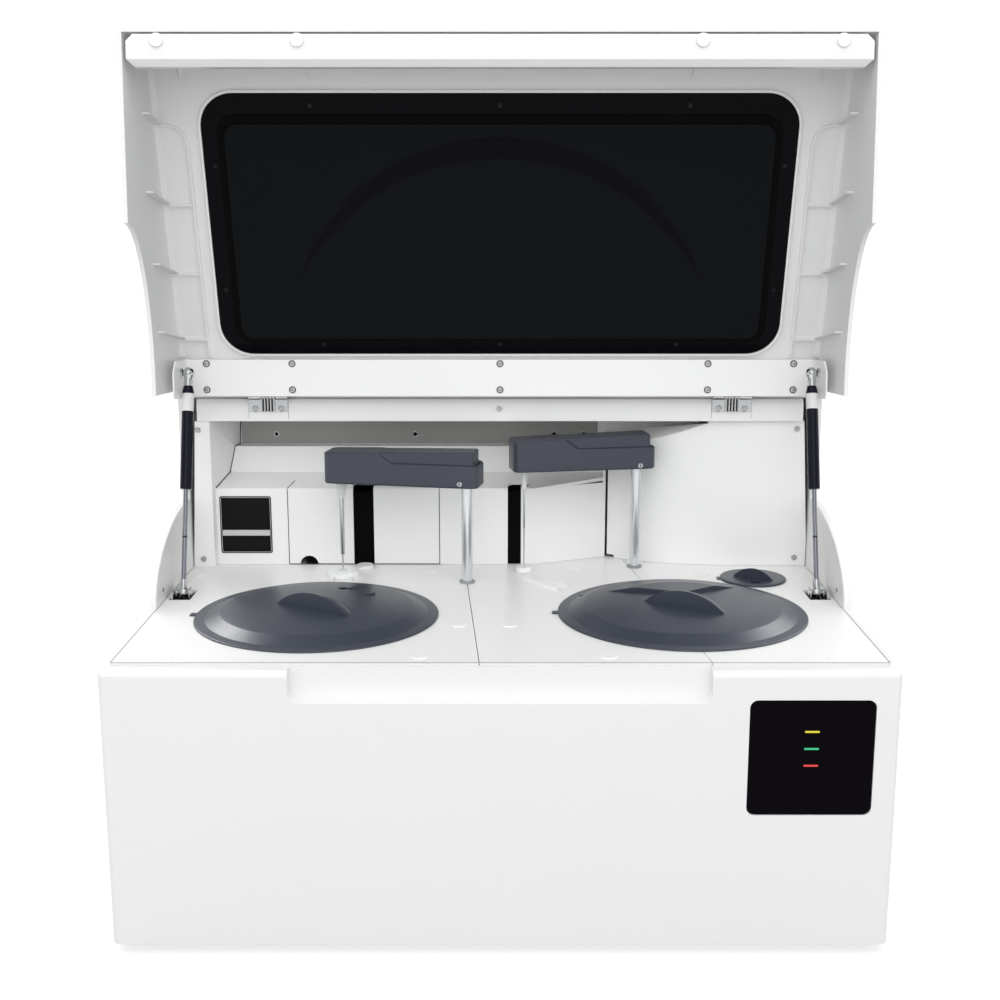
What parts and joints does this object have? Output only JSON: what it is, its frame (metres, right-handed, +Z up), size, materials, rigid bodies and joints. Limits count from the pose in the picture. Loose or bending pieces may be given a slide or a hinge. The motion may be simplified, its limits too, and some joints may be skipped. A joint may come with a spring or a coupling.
{
  "type": "coagulation analyzer",
  "caption": "Bench-top coagulation analyzer: boxy body with a raised windowed lid on gas struts, covered turntable wells and swinging sampling arms on a work deck.",
  "frame": {"origin": "centre of the footprint on the ground, under the feet", "axes": "+X to the right seen from the front, +Y from the front face to the back, +Z up"},
  "size_m": [0.86, 0.66, 1.0103],
  "materials": {
    "white_cover": "fine satin moulded plastic",
    "grey_sheet": "powder coat",
    "slate_cover": "fine matt texture",
    "black_panel": "polished",
    "dark_metal": "satin",
    "steel": "polished",
    "white_sheet": "satin",
    "foot_rubber": "matt",
    "tinted_window": "tinted, polished",
    "dark_plastic": "matt",
    "tube_black": "satin",
    "turntable_grey": "matt"
  },
  "bodies": {
    "base": {"front_cover": "white_cover", "left_side_cover": "white_cover", "right_side_cover": "white_cover", "rear_cover": "white_cover", "rear_top_cover": "white_cover", "deck_left": "white_cover", "deck_middle": "white_cover", "deck_right": "white_cover", "rear_wall": "white_cover", "right_wall": "white_cover", "wash_station_left": "white_cover", "wash_station_right": "white_cover", "base_pan": "grey_sheet", "bowl_left": "grey_sheet", "bowl_right": "grey_sheet", "small_well": "grey_sheet", "power_supply": "grey_sheet", "indicator_panel": "black_panel", "turntable_motor_left": "dark_metal", "turntable_motor_right": "dark_metal", "column_guide_left": "dark_metal", "column_guide_right": "dark_metal", "hinge_leaf_left": "steel", "hinge_leaf_right": "steel", "strut_bracket_left": "steel", "strut_bracket_right": "steel", "hinge_beam": "white_sheet", "foot_front_left": "foot_rubber", "foot_front_right": "foot_rubber", "foot_rear_left": "foot_rubber", "foot_rear_right": "foot_rubber", "fan_frame": "dark_plastic", "mains_inlet": "dark_plastic"},
    "lid": {"lid_shell": "white_cover", "lid_window": "tinted_window", "lid_front_beam": "white_sheet", "lid_hinge_plate": "white_sheet", "hinge_lid_leaf_left": "steel", "hinge_lid_leaf_right": "steel"},
    "strut_rod_left": {"strut_rod_left": "steel"},
    "strut_tube_left": {"strut_tube_left": "tube_black"},
    "strut_rod_right": {"strut_rod_right": "steel"},
    "strut_tube_right": {"strut_tube_right": "tube_black"},
    "disc_cover_left": {"disc_cover_left": "slate_cover"},
    "disc_cover_right": {"disc_cover_right": "slate_cover"},
    "small_cover": {"small_cover": "slate_cover"},
    "turntable_left": {"turntable_left": "turntable_grey"},
    "turntable_right": {"turntable_right": "turntable_grey"},
    "column_left": {"column_left": "steel"},
    "arm_left": {"arm_cover_left": "slate_cover", "probe_holder_left": "white_cover", "needle_left": "steel"},
    "column_right": {"column_right": "steel"},
    "arm_right": {"arm_cover_right": "slate_cover", "probe_holder_right": "white_cover", "needle_right": "steel"},
    "power_switch": {"power_switch": "dark_plastic"},
    "fan_rotor": {"fan_rotor": "dark_plastic"}
  },
  "joints": [
    {"name": "lid_hinge", "type": "hinge", "parent": "base", "child": "lid", "pos_m": [0, 0.098, 0.567], "axis": [1, 0, 0], "range_deg": [0, 94], "stiffness_Nm_per_rad": 3, "springref_deg": -91.67},
    {"name": "strut_swing_left", "type": "hinge", "parent": "base", "child": "strut_rod_left", "pos_m": [-0.401, -0.044, 0.336], "axis": [1, 0, 0], "range_deg": [-15, 0.2]},
    {"name": "strut_slide_left", "type": "slide", "parent": "strut_rod_left", "child": "strut_tube_left", "axis": [0, 0.3014, 0.9535], "range_m": [-0.0799, 0.0005]},
    {"name": "strut_swing_right", "type": "hinge", "parent": "base", "child": "strut_rod_right", "pos_m": [0.401, -0.044, 0.336], "axis": [1, 0, 0], "range_deg": [-15, 0.2]},
    {"name": "strut_slide_right", "type": "slide", "parent": "strut_rod_right", "child": "strut_tube_right", "axis": [0, 0.3014, 0.9535], "range_m": [-0.0799, 0.0005]},
    {"name": "left_cover_lift", "type": "slide", "parent": "base", "child": "disc_cover_left", "axis": [0, 0, -1], "range_m": [-0.1, 0]},
    {"name": "right_cover_lift", "type": "slide", "parent": "base", "child": "disc_cover_right", "axis": [0, 0, -1], "range_m": [-0.1, 0]},
    {"name": "small_cover_lift", "type": "slide", "parent": "base", "child": "small_cover", "axis": [0, 0, -1], "range_m": [-0.1, 0]},
    {"name": "turntable_spin_left", "type": "hinge", "parent": "base", "child": "turntable_left", "pos_m": [-0.22, -0.131, 0.25], "axis": [0, 0, 1], "continuous": true},
    {"name": "turntable_spin_right", "type": "hinge", "parent": "base", "child": "turntable_right", "pos_m": [0.22, -0.122, 0.25], "axis": [0, 0, 1], "continuous": true},
    {"name": "arm_lift_left", "type": "slide", "parent": "base", "child": "column_left", "axis": [0, 0, -1], "range_m": [-0.022, 0.07]},
    {"name": "arm_swing_left", "type": "hinge", "parent": "column_left", "child": "arm_left", "pos_m": [-0.043, 0.021, 0.46], "axis": [0, 0, 1], "range_deg": [-17, 0]},
    {"name": "arm_lift_right", "type": "slide", "parent": "base", "child": "column_right", "axis": [0, 0, -1], "range_m": [-0.009, 0.07]},
    {"name": "arm_swing_right", "type": "hinge", "parent": "column_right", "child": "arm_right", "pos_m": [0.184, 0.101, 0.46], "axis": [0, 0, -1], "range_deg": [-38, 0]},
    {"name": "power_switch_rock", "type": "hinge", "parent": "base", "child": "power_switch", "pos_m": [0.3, 0.321, 0.134], "axis": [1, 0, 0], "range_deg": [0, 12]},
    {"name": "fan_spin", "type": "hinge", "parent": "base", "child": "fan_rotor", "pos_m": [-0.215, 0.312, 0.43], "axis": [0, 1, 0], "continuous": true}
  ],
  "couplings": [
    {"joint": "strut_swing_left", "follows": "lid_hinge", "ratio": -0.15622},
    {"joint": "strut_slide_left", "follows": "lid_hinge", "m_per_rad": -0.04837},
    {"joint": "strut_swing_right", "follows": "lid_hinge", "ratio": -0.15622},
    {"joint": "strut_slide_right", "follows": "lid_hinge", "m_per_rad": -0.04837}
  ]
}
